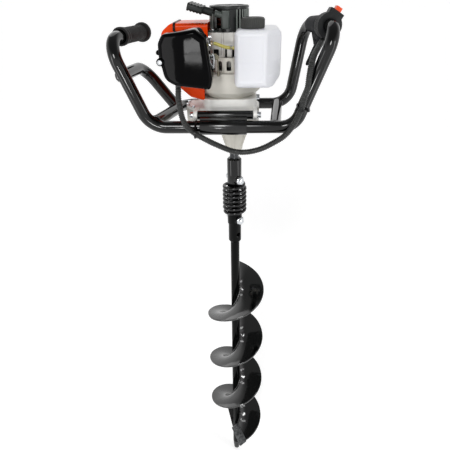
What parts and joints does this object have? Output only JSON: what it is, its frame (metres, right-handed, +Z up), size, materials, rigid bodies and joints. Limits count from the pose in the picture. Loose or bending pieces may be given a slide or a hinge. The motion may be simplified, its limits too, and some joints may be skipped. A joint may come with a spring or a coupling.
{
  "type": "earth auger",
  "caption": "Petrol earth auger with a tube handle frame, orange and black engine, white fuel tank, spring coupling and a black helical drill.",
  "frame": {"origin": "the tip of the drill point, on the drill axis", "axes": "+Z up along the drill to the engine, +X to the throttle handle on the right, +Y to the back, away from the air filter"},
  "size_m": [0.4491, 0.26, 1.3331],
  "materials": {
    "black_paint": "gloss black powder coat",
    "grip_rubber": "moulded matte rubber",
    "black_plastic": "moulded satin plastic",
    "stop_orange": "moulded plastic",
    "shroud_orange": "gloss moulded plastic",
    "cover_black": "high gloss moulded plastic",
    "tank_white": "translucent blow-moulded plastic",
    "cap_grey": "moulded plastic",
    "starter_grey": "moulded satin plastic",
    "cast_alloy": "shot-blasted casting",
    "bright_steel": "bright zinc plate",
    "machined_steel": "machined",
    "bearing_bronze": "machined",
    "worn_steel": "ground",
    "shoe_lining": "sintered",
    "insulator_brown": "phenolic",
    "foam": "open foam",
    "plug_black": "moulded",
    "muffler_black": "heat-proof matte paint",
    "hose_yellow": "clear yellow hose",
    "rope": "braided cord"
  },
  "bodies": {
    "machine": {"front_tube": "black_paint", "rear_tube": "black_paint", "left_brace_tube": "black_paint", "right_cross_tube": "black_paint", "left_grip": "grip_rubber", "throttle_housing": "black_plastic", "throttle_collar": "black_plastic", "cable_conduit": "black_plastic", "zip_ties": "black_plastic", "front_mount_saddle": "black_paint", "rear_mount_saddle": "black_paint", "mount_bolts": "bright_steel", "gear_case": "cast_alloy", "gear_bearings": "bearing_bronze", "output_seal": "grip_rubber", "housing_screws": "bright_steel", "clutch_housing": "cast_alloy", "fan_housing": "cast_alloy", "flywheel": "cast_alloy", "clutch_shoes": "shoe_lining", "crankcase": "cast_alloy", "crank_bearings": "machined_steel", "crankshaft": "machined_steel", "connecting_rod": "machined_steel", "piston": "cast_alloy", "cylinder_body": "cast_alloy", "spark_plug": "plug_black", "shroud": "shroud_orange", "muffler": "muffler_black", "intake_insulator": "insulator_brown", "carburettor": "cast_alloy", "air_filter_base": "black_plastic", "air_filter_element": "foam", "air_filter_cover": "cover_black", "fuel_tank": "tank_white", "tank_mounts": "black_plastic", "fuel_hose": "hose_yellow", "starter_housing": "starter_grey", "recoil_spring": "machined_steel"},
    "spindle": {"output_gear": "machined_steel", "output_shaft": "machined_steel", "upper_socket": "black_paint", "upper_coupling_bolt": "bright_steel", "coupling_spring": "black_paint"},
    "drill": {"lower_socket": "black_paint", "lower_coupling_bolt": "bright_steel", "drill_rod": "black_paint", "drill_flight": "black_paint", "cutter_bar": "worn_steel", "pilot_point": "worn_steel"},
    "counter_gear": {"countershaft": "machined_steel"},
    "clutch_bell": {"clutch_drum": "machined_steel"},
    "trigger": {"throttle_lever": "black_plastic"},
    "stop": {"stop_button": "stop_orange"},
    "carb_throttle": {"carb_throttle_lever": "bright_steel"},
    "choke": {"choke_lever": "machined_steel"},
    "pull_handle": {"starter_handle": "starter_grey", "starter_rope": "rope"},
    "rope_pulley": {"starter_pulley": "starter_grey"},
    "cap": {"fuel_cap": "cap_grey"}
  },
  "joints": [
    {"name": "drill_spin", "type": "hinge", "parent": "machine", "child": "spindle", "pos_m": [0, 0, 1], "axis": [0, 0, 1], "continuous": true},
    {"name": "coupling_compress", "type": "slide", "parent": "spindle", "child": "drill", "axis": [0, 0, 1], "range_m": [0, 0.008], "stiffness_N_per_m": 40000, "deforming": ["coupling_spring"]},
    {"name": "countershaft_spin", "type": "hinge", "parent": "machine", "child": "counter_gear", "pos_m": [-0.0525, 0, 1.1], "axis": [0, 0, 1], "continuous": true},
    {"name": "clutch_drum_spin", "type": "hinge", "parent": "machine", "child": "clutch_bell", "pos_m": [-0.0075, 0, 1.12], "axis": [0, 0, 1], "continuous": true},
    {"name": "throttle_squeeze", "type": "hinge", "parent": "machine", "child": "trigger", "pos_m": [0.1732, 0.00026, 1.25646], "axis": [0.9816, 0.1907, 0], "range_deg": [0, 20], "stiffness_Nm_per_rad": 0.8, "springref_deg": -17.19},
    {"name": "stop_press", "type": "slide", "parent": "machine", "child": "stop", "axis": [-0.5128, -0.1391, -0.8472], "range_m": [0, 0.003], "stiffness_N_per_m": 800, "springref_m": -0.001},
    {"name": "carb_throttle_turn", "type": "hinge", "parent": "machine", "child": "carb_throttle", "pos_m": [-0.042, -0.074, 1.2385], "axis": [1, 0, 0], "range_deg": [0, 50]},
    {"name": "choke_turn", "type": "hinge", "parent": "machine", "child": "choke", "pos_m": [-0.042, -0.09, 1.2595], "axis": [-1, 0, 0], "range_deg": [0, 45]},
    {"name": "starter_pull", "type": "slide", "parent": "machine", "child": "pull_handle", "axis": [-0.9588, 0, 0.284], "range_m": [0, 0.7], "stiffness_N_per_m": 20, "springref_m": -0.3, "deforming": ["starter_rope"]},
    {"name": "starter_pulley_spin", "type": "hinge", "parent": "machine", "child": "rope_pulley", "pos_m": [-0.0075, 0, 1.295], "axis": [0, 0, 1], "range_deg": [-1672, 0]},
    {"name": "fuel_cap_turn", "type": "hinge", "parent": "machine", "child": "cap", "pos_m": [0.039, -0.062, 1.29], "axis": [0, 0, 1], "range_deg": [0, 360]}
  ],
  "couplings": [
    {"joint": "countershaft_spin", "follows": "drill_spin", "ratio": -6},
    {"joint": "clutch_drum_spin", "follows": "drill_spin", "ratio": 30},
    {"joint": "carb_throttle_turn", "follows": "throttle_squeeze", "ratio": 2.5},
    {"joint": "starter_pulley_spin", "follows": "starter_pull", "rad_per_m": -41.667}
  ]
}
